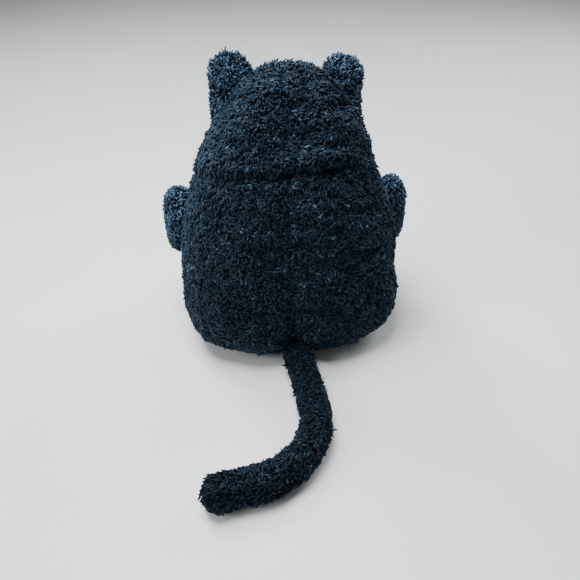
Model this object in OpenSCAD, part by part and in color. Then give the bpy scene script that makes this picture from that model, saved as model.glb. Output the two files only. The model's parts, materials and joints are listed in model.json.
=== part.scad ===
// Sitting plush cat, filled with fibre and a pellet bag.
// Frame: origin at the middle of the flat base, +Z up, the face looks along -Y and the tail
// leaves along +Y. The cat's own left is +X. One solid per sewn panel, filling or fitting.

/* [Body] */
// Height from the base to the crown
body_h = 252; // [240:1:264]
// Full width at the fattest level, low on the body
body_w = 206; // [200:1:212]
// Depth of the body as a fraction of its width
body_flatness = 0.78; // [0.76:0.01:0.8]
// Squareness of the body's cross-section, where 2 is an ellipse
body_square = 2.4; // [2.2:0.1:2.6]
// Thickness of a fabric panel with its pile
skin_t = 5; // [4:0.5:6]

/* [Head] */
// Nod axis behind the middle of the head
nod_y = -8; // [-10:1:-6]
// Height of the nod axis
nod_z = 196; // [194:1:198]
// Radius of the curved neck seam round the nod axis
neck_r = 70; // [69:0.5:71]
// Distance between the eyes
eye_gap = 54; // [50:1:58]
// Height of the eyes
eye_z = 205; // [202:1:208]
// Diameter of an eye
eye_d = 14; // [12:0.5:15]
// Radius of the muzzle
muzzle_r = 22; // [20:0.5:22]

/* [Ears] */
// Width of an ear
ear_w = 36; // [34:1:38]
// Thickness of an ear
ear_t = 13; // [11:0.5:13]
// Sideways place of an ear's middle
ear_x = 45; // [43:1:46]
// Height of an ear's tip
ear_top = 262; // [258:1:266]
// Slope of the seam an ear stands on
ear_slope = 40; // [38:1:42]

/* [Arms] */
// Thickness of an arm, from the body outward
arm_t = 28; // [26:1:28]
// Width of an arm, front to back
arm_w = 38; // [34:1:40]
// Length of an arm from shoulder centre to paw centre
arm_l = 40; // [36:1:42]
// Forward lean of a hanging arm
arm_lean = 22; // [18:1:26]
// Outward splay of an arm
arm_splay = 6; // [4:1:8]

/* [Legs] */
// Diameter of a foot
foot_d = 50; // [48:1:52]
// Length from the hip to the foot's end centre
leg_l = 50; // [46:1:54]
// Outward turn of a leg
leg_yaw = 12; // [8:1:14]

/* [Tail] */
// Diameter of the tail
tail_d = 28; // [26:1:30]
// Length of each of the two straight stretches behind the body
tail_run = 36; // [34:1:38]
// Radius of the tail's bend
tail_bend_r = 62; // [60:1:64]
// Turn of each half of the bend
tail_turn = 44; // [42:1:46]
// Straight stretch before the tail's round tip
tail_end = 26; // [22:1:30]

/* [Hidden] */

gap = 0.5;        // clearance between bodies that move on each other
big = 900;        // larger than the cat, for half-spaces
ring_n = 44;      // points round a cross-section
step_n = 3;       // rings between two levels of the outline
round_n = 64;     // smoothness of turned shapes
soft_n = 24;      // smoothness of soft shapes and of the hollows cut in them

// Outline from the base up: half-width over body_w / 2, height over body_h
OUTLINE = [
    [0.76, 0], [0.9, 0.05], [1, 0.14], [0.985, 0.28], [0.95, 0.44], [0.83, 0.605],
    [0.665, 0.77], [0.48, 0.895], [0.25, 0.976], [0, 1]
];
fur = [0.09, 0.13, 0.17];
fill = [0.9, 0.9, 0.88];
plastic = [0.08, 0.08, 0.09];

base_t = 3;
base_scale = 0.93;
side_seam_y = -8;   // seam between the back panels and the belly panel
crown_seam_y = -4;  // seam that runs over the crown from ear to ear
bag_r = 40;
bag_h = 24;
bag_wall = 1;

ear_y = -9;
ear_hinge = [46, ear_y, 233.5];
ear_root_r = ear_t / 2;
ear_base_l = ear_w / cos(ear_slope) + 3;
ear_wall = 3.5;

shoulder = [99, -14, 128];
hip = [46, -48, 27];
hip_r = 23.5;
leg_pitch = asin((hip[2] - foot_d / 2) / leg_l);
sole_at = 13;
sole_t = 4;

fit = 0.3;        // clearance round a button or washer
shank_d = 4;
washer_t = 2;
washer_d = 13;
eye_y = -46.3;
eye_shank = 13;
washer_at = 8;
muzzle_at = [0, -50, 178];
nose_tilt = 20;
nose_shank = 26;
nose_d = 13;

tail_r = tail_d / 2;
tail_core = tail_r - skin_t;
tail_root = [-2, 66, tail_r];
tail_heading = 98;
tail_sweep = 40;

// Catmull-Rom curve through four values
function curve(a, b, c, d, t) =
    b + 0.5 * t * (c - a + t * (2 * a - 5 * b + 4 * c - d + t * (3 * (b - c) + d - a)));
function pick(i) = OUTLINE[min(max(i, 0), len(OUTLINE) - 1)];
// The crown closes at a right angle, so the curve runs on past it mirrored
function before(i) = i < 0 ? [OUTLINE[0][0] - 0.1, -0.04] : pick(i);
function after(i) = i > len(OUTLINE) - 1 ? [-0.25, 0.976] : pick(i);
function outline_points() = concat(
    [for (i = [0 : len(OUTLINE) - 2], s = [0 : step_n - 1])
        curve(before(i - 1), pick(i), pick(i + 1), after(i + 2), s / step_n)],
    [pick(len(OUTLINE) - 1)]);

function signed_pow(v, p) = sign(v) * pow(abs(v), p);
// A filling is drawn through every second point, so it lies just inside its skin
function stride() = is_undef($stride) ? 1 : $stride;
function ring(w, d, z) = [
    for (i = [0 : stride() : ring_n - 1]) let (a = 360 * (i + 0.5) / ring_n)
        [w * signed_pow(cos(a), 2 / body_square), d * signed_pow(sin(a), 2 / body_square), z]
];

// Solid through a stack of closed rings, with a single point on top
module loft(rings, top) {
    n = len(rings[0]);
    m = len(rings);
    points = concat([for (r = rings) each r], [top]);
    sides = [
        for (k = [0 : m - 2], i = [0 : n - 1])
            let (j = (i + 1) % n)
                each [[k * n + i, k * n + n + i, k * n + j], [k * n + j, k * n + n + i, k * n + n + j]]
    ];
    crown = [for (i = [0 : n - 1]) [(m - 1) * n + i, m * n, (m - 1) * n + (i + 1) % n]];
    floor_face = [[for (i = [0 : n - 1]) i]];
    polyhedron(points, concat(sides, crown, floor_face), convexity = 4);
}

// Body and head in one gumdrop, drawn in by inset on every side
module gumdrop(inset = 0) {
    path = outline_points();
    w = body_w / 2;
    high = body_h - 2 * inset;
    rings = [
        for (i = [0 : len(path) - 2]) let (p = path[i], hw = max(p[0] * w - inset, 3))
            ring(hw, max(p[0] * w * body_flatness - inset, 2), inset + p[1] * high)
    ];
    loft(rings, [0, 0, body_h - inset]);
}

// A soft panel is one plain mesh: a resize to no size keeps its shape
module soft() {
    $soft = true;
    resize([0, 0, 0]) children();
}
function smooth() = is_undef($soft) ? round_n : soft_n;
// Radius of a faceted hollow that clears a round of radius r everywhere
function roomy(r) = r / pow(cos(180 / soft_n), 2);

module above(z) { translate([-big / 2, -big / 2, z]) cube(big); }
module behind(y) { translate([-big / 2, y, -big / 2]) cube(big); }
module before_y(y) { translate([-big / 2, y - big, -big / 2]) cube(big); }
module left_half() { translate([0, -big / 2, -big / 2]) cube(big); }
module right_half() { translate([-big, -big / 2, -big / 2]) cube(big); }

// The right-hand piece is the left one mirrored
module on_side(s) {
    if (s > 0) children();
    else mirror([1, 0, 0]) children();
}

// Everything above the curved neck seam
module head_zone(extra = 0) {
    translate([0, nod_y, nod_z]) rotate([0, 90, 0])
        cylinder(r = neck_r + extra, h = big, center = true, $fn = 96);
    above(nod_z);
}

// ---------- torso ----------

module base_shape(inset, t) {
    w = body_w / 2 * OUTLINE[0][0] * base_scale - inset;
    linear_extrude(t) polygon([
        for (p = ring(w, w * body_flatness, 0)) [p[0], p[1]]
    ]);
}

module place_arm() { translate(shoulder) rotate([0, -arm_splay, 0]) children(); }
module place_leg() {
    translate(hip) rotate([0, 0, leg_yaw]) rotate([leg_pitch, 0, 0]) children();
}
module place_tail() { translate(tail_root) rotate([0, 0, tail_heading]) children(); }

// Flats the arms lie and swing against
module arm_flats(deeper = 0) {
    for (s = [1, -1]) on_side(s) place_arm() rotate([-arm_lean, 0, 0]) intersection() {
        translate([-arm_t / 2 - gap - deeper, 0, 0]) rotate([0, 90, 0])
            cylinder(r = arm_l + arm_w / 2 + 1 + deeper, h = 60, $fn = smooth());
        rotate([10, 0, 0]) before_y(arm_w / 2 + gap + deeper);
    }
}

// Room for the hip and the leg as it lifts
module hip_socket() {
    for (lift = [0, 13, 26]) place_leg() rotate([-lift, 0, 0]) rotate([90, 0, 0])
        cylinder(r1 = roomy(hip_r + gap), r2 = roomy(foot_d / 2 + gap), h = leg_l, $fn = smooth());
    place_leg() sphere(r = roomy(hip_r + gap), $fn = smooth());
}

// Room for the tail's root as it lifts
module tail_socket() {
    for (lift = [0, 13, 26]) place_tail() rotate([0, 90 - lift, 0])
        cylinder(r = roomy(tail_r + gap), h = 60, $fn = smooth());
    place_tail() sphere(r = roomy(tail_r + gap), $fn = smooth());
}

// What the torso's panels close round
module torso_core() {
    difference() {
        gumdrop(skin_t);
        arm_flats(skin_t);
    }
}
module torso_shell() {
    difference() {
        gumdrop();
        torso_core();
        arm_flats();
        base_shape(0, skin_t + 1);
        head_zone(gap);
    }
}

module body_back(s) {
    color(fur) soft() on_side(s) difference() {
        intersection() { torso_shell(); left_half(); behind(side_seam_y); }
        if (s > 0) tail_socket();
        else mirror([1, 0, 0]) tail_socket();
    }
}

module body_front() {
    color(fur) soft() difference() {
        intersection() { torso_shell(); before_y(side_seam_y); }
        for (s = [1, -1]) on_side(s) hip_socket();
    }
}

module base_panel() { color(fur) base_shape(0, base_t); }

module pellet_pouch(inset) {
    r = bag_r - inset;
    h = bag_h - 2 * inset;
    edge = h / 2;
    translate([0, 8, base_t + inset]) rotate_extrude($fn = smooth()) union() {
        square([r - edge, h]);
        intersection() {
            translate([r - edge, edge]) circle(r = edge, $fn = smooth());
            square([r, h]);
        }
    }
}

module body_stuffing() {
    $stride = 2;
    color(fill) soft() difference() {
        union() {
            torso_core();
            translate([0, 0, base_t]) base_shape(1, skin_t);
        }
        head_zone(gap + 1);
        for (s = [1, -1]) on_side(s) hip_socket();
        tail_socket();
        pellet_pouch(-1);
    }
}

module pellet_bag() { color(fill) difference() { pellet_pouch(0); pellet_pouch(bag_wall); } }
module pellets() { color([0.8, 0.82, 0.85]) pellet_pouch(bag_wall); }

// ---------- head ----------

// Length round which the ear turns, along the seam it stands on
module ear_seam(r, l) {
    translate(ear_hinge) rotate([0, 90 + ear_slope, 0])
        cylinder(r = r, h = l, center = true, $fn = smooth());
}

// Domed button on a shank, pointing along -Y; room makes the hollow for one
module button(d, high, shank, room = 0) {
    ball = (pow(d / 2, 2) + pow(high, 2)) / (2 * high);
    intersection() {
        translate([0, ball - high, 0]) sphere(r = ball + room, $fn = smooth());
        before_y(room);
    }
    rotate([-90, 0, 0]) cylinder(d = shank_d + 2 * room, h = shank + room, $fn = smooth());
}

module washer(d, at) {
    translate([0, at, 0]) rotate([-90, 0, 0]) difference() {
        cylinder(d = d, h = washer_t, $fn = smooth());
        translate([0, 0, -1]) cylinder(d = shank_d, h = washer_t + 2, $fn = smooth());
    }
}
module washer_room(d, at) {
    translate([0, at - fit, 0]) rotate([-90, 0, 0])
        cylinder(d = d + 2 * fit, h = washer_t + 2 * fit, $fn = smooth());
}

module place_eye() { translate([eye_gap / 2, eye_y, eye_z]) rotate([-22, 0, 16]) children(); }
module place_nose() {
    translate(muzzle_at) rotate([-nose_tilt, 0, 0]) translate([0, -muzzle_r + 1.2, 0]) children();
}

module head_fittings() {
    for (s = [1, -1]) on_side(s) {
        place_eye() { button(eye_d, 4, eye_shank, fit); washer_room(washer_d, washer_at); }
        ear_seam(roomy(ear_root_r + gap), ear_base_l);
    }
    place_nose() { button(nose_d, 4, nose_shank, fit); washer_room(washer_d, nose_shank - 3); }
}
// The head is narrowed beside the arms, clear of them as it nods
module head_sides(deeper = 0) {
    for (s = [1, -1]) on_side(s) place_arm()
        translate([-arm_t / 2 - 2 * gap - deeper, -big / 2, -big / 2]) cube(big);
}
module head_core() {
    difference() {
        gumdrop(skin_t);
        head_sides(skin_t);
    }
}

module head_shell() {
    difference() {
        intersection() { gumdrop(); head_zone(); }
        head_core();
        head_sides();
        for (s = [1, -1]) on_side(s) ear_seam(roomy(ear_root_r + gap), ear_base_l);
    }
}

module head_back(s) {
    color(fur) soft() intersection() {
        head_shell();
        behind(crown_seam_y);
        if (s > 0) left_half(); else right_half();
    }
}

module face_panel() {
    color(fur) soft() difference() {
        intersection() { head_shell(); before_y(crown_seam_y); }
        for (s = [1, -1]) on_side(s) place_eye() button(eye_d, 4, eye_shank, fit);
        place_nose() button(nose_d, 4, nose_shank, fit);
    }
}

module head_stuffing() {
    $stride = 2;
    color(fill) soft() difference() {
        intersection() { head_core(); head_zone(); }
        head_fittings();
    }
}

module muzzle() {
    color(fur) soft() difference() {
        intersection() { translate(muzzle_at) sphere(r = muzzle_r, $fn = smooth()); before_y(-50); }
        gumdrop();
        place_nose() button(nose_d, 4, nose_shank, fit);
    }
}

module eye(s) { color([0.75, 0.62, 0.15]) on_side(s) place_eye() button(eye_d, 4, eye_shank); }
module eye_washer(s) { color(plastic) on_side(s) place_eye() washer(washer_d, washer_at); }
module nose() { color([0.75, 0.45, 0.47]) place_nose() button(nose_d, 4, nose_shank); }
module nose_washer() { color(plastic) place_nose() washer(washer_d, nose_shank - 3); }

// Thread laid on the muzzle: an upright stitch under the nose and a curve to each side
thread = 0.7;
module stitch_arc(spread, from, sweep) {
    rotate([90, 0, 0]) rotate([0, 0, from]) rotate_extrude(angle = sweep, $fn = smooth())
        translate([(muzzle_r + thread) * sin(spread), (muzzle_r + thread) * cos(spread)])
            circle(r = thread, $fn = 16);
}
module mouth_stitching() {
    color(plastic) translate(muzzle_at) {
        rotate([0, 0, -90]) rotate([90, 0, 0]) rotate([0, 0, -22])
            rotate_extrude(angle = 22, $fn = smooth())
                translate([muzzle_r + thread, 0]) circle(r = thread, $fn = 16);
        for (s = [1, -1]) on_side(s) rotate([22, 0, 17]) stitch_arc(17, 190, 110);
    }
}

// ---------- ears ----------

// Tongue with a round tip, between two depths
module tongue(inset, y0, y1) {
    r = ear_w / 2 - inset;
    tip_z = ear_top - ear_w / 2;
    translate([0, y1, 0]) rotate([90, 0, 0]) linear_extrude(y1 - y0) union() {
        translate([ear_x, tip_z]) circle(r = r, $fn = smooth());
        translate([ear_x - r, 180]) square([2 * r, tip_z - 180]);
    }
}
module over_seam(inset) {
    translate(ear_hinge) rotate([0, ear_slope, 0]) translate([-big / 2, -big / 2, inset]) cube(big);
}
module ear_body() {
    intersection() {
        tongue(0, ear_y - ear_t / 2, ear_y + ear_t / 2);
        union() { over_seam(0); ear_seam(ear_root_r, 2 * ear_base_l); }
    }
}
module ear_outline(inset, y0, y1) {
    intersection() { tongue(inset, y0, y1); over_seam(inset); }
}

module ear_lining_shape() { ear_outline(ear_wall, ear_y - ear_t / 2, ear_y - ear_t / 2 + 4); }
module ear_fill_shape() { ear_outline(ear_wall + 1, ear_y - ear_t / 2 + 4, ear_y + ear_t / 2 - 4); }

module ear_back(s) {
    color(fur) on_side(s) difference() { ear_body(); ear_lining_shape(); ear_fill_shape(); }
}
module ear_lining(s) { color([0.35, 0.25, 0.27]) on_side(s) ear_lining_shape(); }
module ear_stuffing(s) { color(fill) on_side(s) ear_fill_shape(); }

// ---------- arms ----------

module arm_shape(inset) {
    r = arm_w / 2 - inset;
    place_arm() rotate([-arm_lean, 0, 0]) scale([(arm_t / 2 - inset) / r, 1, 1]) hull() {
        sphere(r = r, $fn = soft_n);
        translate([0, 0, -arm_l]) sphere(r = r, $fn = soft_n);
    }
}
module arm_side(out) {
    place_arm() translate([out ? 0 : -big, -big / 2, -big / 2]) cube(big);
}
module arm_panel(s, out) {
    color(fur) soft() on_side(s) difference() {
        intersection() { arm_shape(0); arm_side(out); }
        arm_shape(skin_t);
    }
}
module arm_stuffing(s) { color(fill) soft() on_side(s) arm_shape(skin_t); }

// ---------- legs ----------

// Stubby leg turned about its own length: ball at the hip, fuller at the foot
module leg_shape(inset, ends_at) {
    place_leg() rotate([90, 0, 0]) {
        sphere(r = hip_r - inset, $fn = smooth());
        cylinder(r1 = hip_r - inset, r2 = foot_d / 2 - inset, h = leg_l, $fn = smooth());
        intersection() {
            translate([0, 0, leg_l]) sphere(r = foot_d / 2 - inset, $fn = smooth());
            cylinder(r = foot_d, h = leg_l + ends_at, $fn = smooth());
        }
    }
}
module sole_shape() {
    r = sqrt(pow(foot_d / 2, 2) - pow(sole_at, 2)) - 1.5;
    place_leg() rotate([90, 0, 0]) translate([0, 0, leg_l + sole_at - sole_t])
        cylinder(r = r, h = sole_t + 1, $fn = smooth());
}
module leg_skin(s) {
    color(fur) on_side(s) difference() {
        leg_shape(0, sole_at);
        leg_shape(skin_t, sole_at - sole_t);
        sole_shape();
    }
}
module sole(s) { color([0.16, 0.18, 0.2]) on_side(s) sole_shape(); }
module leg_stuffing(s) {
    color(fill) on_side(s) difference() { leg_shape(skin_t, sole_at - sole_t); sole_shape(); }
}

// ---------- tail ----------

// Straight stretch along +X: ball at the start, hollow at the end for the next ball
module tail_straight(r, l, trim) {
    difference() {
        union() {
            sphere(r = r, $fn = smooth());
            rotate([0, 90, 0]) cylinder(r = r, h = l, $fn = smooth());
        }
        translate([l, 0, 0]) sphere(r = tail_r + gap + trim, $fn = smooth());
        translate([l - tail_r * tan(tail_sweep / 2) - gap, -big / 2, -big / 2]) cube(big);
    }
}
// Bent stretch from the origin along +X, turning towards -Y
module tail_arc(r, turn) {
    translate([0, -tail_bend_r, 0]) rotate([0, 0, 90 - turn])
        rotate_extrude(angle = turn, $fn = 2 * soft_n) translate([tail_bend_r, 0])
            circle(r = r, $fn = soft_n);
    sphere(r = r, $fn = soft_n);
}
module bend_frame() {
    translate([0, -tail_bend_r, 0]) rotate([0, 0, -tail_turn]) translate([0, tail_bend_r, 0])
        children();
}

module at_mid() { place_tail() translate([tail_run, 0, 0]) children(); }
module at_bend() { place_tail() translate([2 * tail_run, 0, 0]) children(); }
module at_tip() { at_bend() bend_frame() children(); }

module bend_shape(r, trim) {
    difference() {
        tail_arc(r, tail_turn);
        bend_frame() {
            sphere(r = tail_r + gap + trim, $fn = soft_n);
            translate([-tail_r * tan(tail_sweep / 2) - gap, -30, -30]) cube(60);
        }
    }
}
module tip_shape(r) {
    tail_arc(r, tail_turn);
    bend_frame() {
        rotate([0, 90, 0]) cylinder(r = r, h = tail_end, $fn = soft_n);
        translate([tail_end, 0, 0]) sphere(r = r, $fn = soft_n);
    }
}

// Hollow fabric of a straight stretch
module tail_tube() {
    difference() {
        tail_straight(tail_r, tail_run, 0);
        tail_straight(tail_core, tail_run, 1);
    }
}
module tail_root_skin() { color(fur) place_tail() tail_tube(); }
module tail_root_stuffing() { color(fill) place_tail() tail_straight(tail_core, tail_run, 1); }
module tail_mid_skin() { color(fur) at_mid() tail_tube(); }
module tail_mid_stuffing() { color(fill) at_mid() tail_straight(tail_core, tail_run, 1); }
// Upper and under panels of the bent stretches, which meet at the tail's mid-height
module tail_side(upper) { translate([-50, -100, upper ? 0 : -50]) cube([200, 200, 50]); }
module tail_bend_panel(upper) {
    color(fur) soft() at_bend() difference() {
        intersection() { bend_shape(tail_r, 0); tail_side(upper); }
        bend_shape(tail_core, 1);
    }
}
module tail_tip_panel(upper) {
    color(fur) soft() at_tip() difference() {
        intersection() { tip_shape(tail_r); tail_side(upper); }
        tip_shape(tail_core);
    }
}
module tail_bend_stuffing() { color(fill) soft() at_bend() bend_shape(tail_core, 1); }
module tail_tip_stuffing() { color(fill) soft() at_tip() tip_shape(tail_core); }

body_back(1);  // body_back_left
body_back(-1);  // body_back_right
body_front();
base_panel();
body_stuffing();
pellet_bag();
pellets();
head_back(1);  // head_back_left
head_back(-1);  // head_back_right
face_panel();
head_stuffing();
muzzle();
nose();
nose_washer();
mouth_stitching();
eye(1);  // eye_left
eye(-1);  // eye_right
eye_washer(1);  // eye_washer_left
eye_washer(-1);  // eye_washer_right
ear_back(1);  // ear_back_left
ear_back(-1);  // ear_back_right
ear_lining(1);  // ear_lining_left
ear_lining(-1);  // ear_lining_right
ear_stuffing(1);  // ear_stuffing_left
ear_stuffing(-1);  // ear_stuffing_right
arm_panel(1, true);  // arm_outer_left
arm_panel(-1, true);  // arm_outer_right
arm_panel(1, false);  // arm_inner_left
arm_panel(-1, false);  // arm_inner_right
arm_stuffing(1);  // arm_stuffing_left
arm_stuffing(-1);  // arm_stuffing_right
leg_skin(1);  // leg_skin_left
leg_skin(-1);  // leg_skin_right
sole(1);  // sole_left
sole(-1);  // sole_right
leg_stuffing(1);  // leg_stuffing_left
leg_stuffing(-1);  // leg_stuffing_right
tail_root_skin();
tail_root_stuffing();
tail_mid_skin();
tail_mid_stuffing();
tail_bend_panel(true);  // tail_bend_upper
tail_bend_panel(false);  // tail_bend_under
tail_bend_stuffing();
tail_tip_panel(true);  // tail_tip_upper
tail_tip_panel(false);  // tail_tip_under
tail_tip_stuffing();
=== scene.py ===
"""A sitting plush cat with short curly black pile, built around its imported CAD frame.

Metres throughout. The face looks along -Y, the tail leaves along +Y, and the cat's own left is +X.
Every visible skin is a quilted backing cloth with thousands of small curved tufts standing on it.
"""

import json
import math

import bmesh
import bpy
import numpy as np
from mathutils import Matrix, Vector


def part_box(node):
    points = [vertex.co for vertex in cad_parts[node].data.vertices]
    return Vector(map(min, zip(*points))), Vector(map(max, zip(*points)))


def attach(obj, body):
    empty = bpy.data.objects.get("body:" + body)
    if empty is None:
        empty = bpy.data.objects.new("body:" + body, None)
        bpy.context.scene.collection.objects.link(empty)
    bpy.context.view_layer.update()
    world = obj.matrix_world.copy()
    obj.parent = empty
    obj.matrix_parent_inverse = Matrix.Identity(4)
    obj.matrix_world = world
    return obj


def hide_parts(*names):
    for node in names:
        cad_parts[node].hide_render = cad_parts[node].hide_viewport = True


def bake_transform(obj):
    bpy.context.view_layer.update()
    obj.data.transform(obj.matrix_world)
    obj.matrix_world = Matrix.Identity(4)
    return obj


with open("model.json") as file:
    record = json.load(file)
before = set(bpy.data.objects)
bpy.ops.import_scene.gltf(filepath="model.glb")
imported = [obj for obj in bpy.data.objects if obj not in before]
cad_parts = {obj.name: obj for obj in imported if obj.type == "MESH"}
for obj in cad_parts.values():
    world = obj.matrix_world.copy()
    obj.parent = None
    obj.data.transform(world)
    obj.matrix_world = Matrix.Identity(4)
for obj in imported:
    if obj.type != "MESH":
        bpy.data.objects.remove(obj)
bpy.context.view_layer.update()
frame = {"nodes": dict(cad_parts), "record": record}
JOINTS = {j["name"]: j for j in frame["record"]["behaviour"]["joints"]}
MM = 0.001


def joint_at(name):
    return np.array(JOINTS[name]["pos_m"], float)


def joint_axis(name):
    return np.array(JOINTS[name]["axis"], float)


# ---------------------------------------------------------------- sizes, from the frame
BODY_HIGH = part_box("body_front")[1]
HALF_W = BODY_HIGH[0]
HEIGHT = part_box("face_panel")[1][2]
FLATNESS = 0.78          # depth of the body over its width
SQUARENESS = 2.4         # exponent of its cross-section
SIDE_SEAM_Y = BODY_HIGH[1]
CROWN_SEAM_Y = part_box("face_panel")[1][1]
# Outline: half-width over HALF_W, height over HEIGHT
OUTLINE = [(0.76, 0), (0.9, 0.05), (1, 0.14), (0.985, 0.28), (0.95, 0.44), (0.83, 0.605),
           (0.665, 0.77), (0.48, 0.895), (0.25, 0.976), (0, 1)]
# The neck fold is a slanted plane: higher at the nape than under the chin
NECK_Z = 172 * MM
NECK_SLOPE = 0.28
PILE = 2.8 * MM          # how far the backing cloth lies inside the CAD skin
LIFT = 0.6 * MM          # lowest point that any pile may reach above the floor
ARM_LENGTH, ARM_HALF_T, ARM_HALF_W = 40 * MM, 14 * MM, 19 * MM
ARM_LEAN, ARM_SPLAY = 22, 6                 # degrees
HIP_R, FOOT_R, LEG_LENGTH = 23.5 * MM, 25 * MM, 50 * MM
MUZZLE_CENTRE, MUZZLE_R = np.array([0, -50 * MM, 178 * MM]), 22 * MM
SIDES = (("left", 1), ("right", -1))


# ---------------------------------------------------------------- small helpers
def unit(v):
    return v / np.maximum(np.linalg.norm(v, axis=-1, keepdims=True), 1e-12)


def bump(x, width):
    return np.exp(-((x / width) ** 2))


def step(x, low, high):
    t = np.clip((x - low) / (high - low), 0, 1)
    return t * t * (3 - 2 * t)


def waves(p, size, seed, count=7):
    """Smooth random swelling from -1 to 1 with features about size across."""
    rng = np.random.default_rng(seed)
    total = np.zeros(len(p))
    for _ in range(count):
        k = unit(rng.normal(size=3)) * 2 * math.pi / size * rng.uniform(0.6, 1.3)
        total += np.sin(p @ k + rng.uniform(0, 2 * math.pi))
    return total / math.sqrt(count) / 1.6


def turned(points, degrees, axis):
    """The points turned about an axis through the origin."""
    return points @ np.array(Matrix.Rotation(math.radians(degrees), 3, axis)).T


def flipped(polys):
    return [np.asarray(p)[:, ::-1] for p in polys]


def sided(verts, polys, s):
    """The left-hand mesh, or its mirror image when s is -1."""
    if s > 0:
        return verts, polys
    return verts * np.array([-1, 1, 1]), flipped(polys)


def make_mesh(name, verts, polys, attributes=None):
    """polys is a list of integer arrays, each (count, corners)."""
    polys = [np.asarray(p, np.int32) for p in polys if len(p)]
    corners = np.concatenate([p.ravel() for p in polys])
    sizes = np.concatenate([np.full(len(p), p.shape[1]) for p in polys])
    mesh = bpy.data.meshes.new(name)
    mesh.vertices.add(len(verts))
    mesh.vertices.foreach_set("co", np.asarray(verts, np.float32).ravel())
    mesh.loops.add(len(corners))
    mesh.loops.foreach_set("vertex_index", corners.astype(np.int32))
    mesh.polygons.add(len(sizes))
    starts = np.concatenate([[0], np.cumsum(sizes)[:-1]])
    mesh.polygons.foreach_set("loop_start", starts.astype(np.int32))
    mesh.update(calc_edges=True)
    mesh.validate()
    mesh.polygons.foreach_set("use_smooth", np.ones(len(mesh.polygons), bool))
    for key, values in (attributes or {}).items():
        layer = mesh.attributes.new(key, "FLOAT", "POINT")
        layer.data.foreach_set("value", np.asarray(values, np.float32))
    obj = bpy.data.objects.new(name, mesh)
    bpy.context.scene.collection.objects.link(obj)
    return obj


def vertex_normals(verts, tris):
    a, b, c = (verts[tris[:, i]] for i in range(3))
    n = np.cross(b - a, c - a)
    total = np.zeros_like(verts)
    for i in range(3):
        np.add.at(total, tris[:, i], n)
    return unit(total)


def triangles(polys):
    out = []
    for p in polys:
        p = np.asarray(p)
        if len(p):
            out += [p[:, [0, i, i + 1]] for i in range(1, p.shape[1] - 1)]
    return np.concatenate(out)


def tube_grid(rings, close_start=True, close_end=True):
    """Vertices and quads through rings of equal length, with ends closed by a fan."""
    m, n = len(rings), len(rings[0])
    verts = np.concatenate(rings)
    k = np.arange(m - 1)[:, None] * n
    i = np.arange(n)[None, :]
    j = (i + 1) % n
    quads = np.stack([k + i, k + j, k + n + j, k + n + i], -1).reshape(-1, 4)
    tris = []
    if close_start:
        verts = np.vstack([verts, rings[0].mean(0)])
        tris.append(np.stack([i[0], np.full(n, len(verts) - 1), j[0]], -1))
    if close_end:
        verts = np.vstack([verts, rings[-1].mean(0)])
        top = (m - 1) * n
        tris.append(np.stack([top + i[0], top + j[0], np.full(n, len(verts) - 1)], -1))
    return verts, [quads] + tris


# ---------------------------------------------------------------- tufts
TUFT_SIDES = 3
TUFT_STEPS = np.array([-0.2, 0.5, 0.9])       # ring places along the tuft, then its tip
TUFT_RADII = np.array([1.0, 1.15, 0.85])
CLUMP = 9 * MM           # size of the locks that neighbouring tufts lean into


def scatter(verts, tris, gap, seed, keep=None):
    """Points spread over the surface about gap apart, with their normals."""
    rng = np.random.default_rng(seed)
    a, b, c = (verts[tris[:, i]] for i in range(3))
    cross = np.cross(b - a, c - a)
    area = np.linalg.norm(cross, axis=1) / 2
    if keep is not None:
        area = area * keep((a + b + c) / 3)
    count = int(area.sum() / gap ** 2 * 6)
    pick = np.searchsorted(np.cumsum(area), rng.uniform(0, area.sum(), count))
    pick = np.minimum(pick, len(tris) - 1)
    u, v = rng.random(count), rng.random(count)
    over = u + v > 1
    u[over], v[over] = 1 - u[over], 1 - v[over]
    points = a[pick] + (b - a)[pick] * u[:, None] + (c - a)[pick] * v[:, None]
    cells = np.floor(points / gap).astype(np.int64)
    key = (cells[:, 0] * 100003 + cells[:, 1]) * 100003 + cells[:, 2]
    _, first = np.unique(key, return_index=True)
    first.sort()
    normals = vertex_normals(verts, tris)
    smooth = unit(normals[tris[pick]].mean(1))
    return points[first], smooth[first]


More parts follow.
